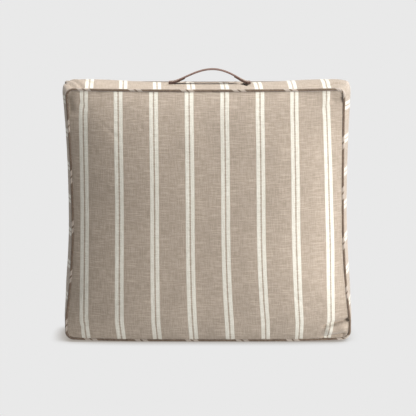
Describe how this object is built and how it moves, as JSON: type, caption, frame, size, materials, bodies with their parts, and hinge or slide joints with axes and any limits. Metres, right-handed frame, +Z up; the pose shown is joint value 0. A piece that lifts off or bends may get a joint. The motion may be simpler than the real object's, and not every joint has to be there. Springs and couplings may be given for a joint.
{
  "type": "floor cushion",
  "caption": "Square box-edge floor cushion with piped seams, a zipped cover, a filled inner and a leather carrying handle, standing on one edge.",
  "frame": {"origin": "on the floor plane, under the middle of the cushion as it stands on its zipped edge", "axes": "+X along the cushion's width, to the right seen from the front; +Y through its thickness, from the front panel to the back; +Z up, towards the handle"},
  "size_m": [0.6266, 0.214, 0.585],
  "materials": {
    "cover_cloth": "slubbed linen-look weave, warm taupe with cream double stripes",
    "piping_cloth": "the cover cloth cut on the bias",
    "piping_cord": "twisted cotton",
    "insert_casing": "plain white cotton",
    "fibre_fill": "carded polyester fibre",
    "zip_tape": "herringbone tape",
    "zip_coil": "satin nylon",
    "zip_metal": "antique brass, dulled",
    "handle_leather": "smooth brown leather with burnished edges",
    "handle_thread": "waxed thread"
  },
  "bodies": {
    "cushion": {"front_panel": "cover_cloth", "back_panel": "cover_cloth", "boxing_strip": "cover_cloth", "zip_boxing_front": "cover_cloth", "zip_boxing_rear": "cover_cloth", "front_piping_cover": "piping_cloth", "back_piping_cover": "piping_cloth", "front_piping_cord": "piping_cord", "back_piping_cord": "piping_cord", "insert_casing_front": "insert_casing", "insert_casing_rear": "insert_casing", "fibre_fill": "fibre_fill", "zip_tape_front": "zip_tape", "zip_tape_rear": "zip_tape", "zip_coil_front": "zip_coil", "zip_coil_rear": "zip_coil", "zip_top_stop_front": "zip_metal", "zip_top_stop_rear": "zip_metal", "zip_bottom_stop": "zip_metal", "handle_left_foot": "handle_leather", "handle_right_foot": "handle_leather", "handle_left_stitching": "handle_thread", "handle_right_stitching": "handle_thread", "handle_left_backing": "insert_casing", "handle_right_backing": "insert_casing"},
    "grip": {"handle_grip": "handle_leather"},
    "slider": {"zip_slider": "zip_metal"},
    "pull_tab": {"zip_pull_tab": "zip_metal"}
  },
  "joints": [
    {"name": "handle_fold", "type": "hinge", "parent": "cushion", "child": "grip", "pos_m": [0, 0, 0.555], "axis": [1, 0, 0], "range_deg": [-50, 50], "stiffness_Nm_per_rad": 0.05},
    {"name": "zip_slide", "type": "slide", "parent": "cushion", "child": "slider", "axis": [-1, 0, 0], "range_m": [0, 0.485]},
    {"name": "pull_tab_flip", "type": "hinge", "parent": "slider", "child": "pull_tab", "pos_m": [0.24, 0, 0.00105], "axis": [0, -1, 0], "range_deg": [0, 180]}
  ]
}
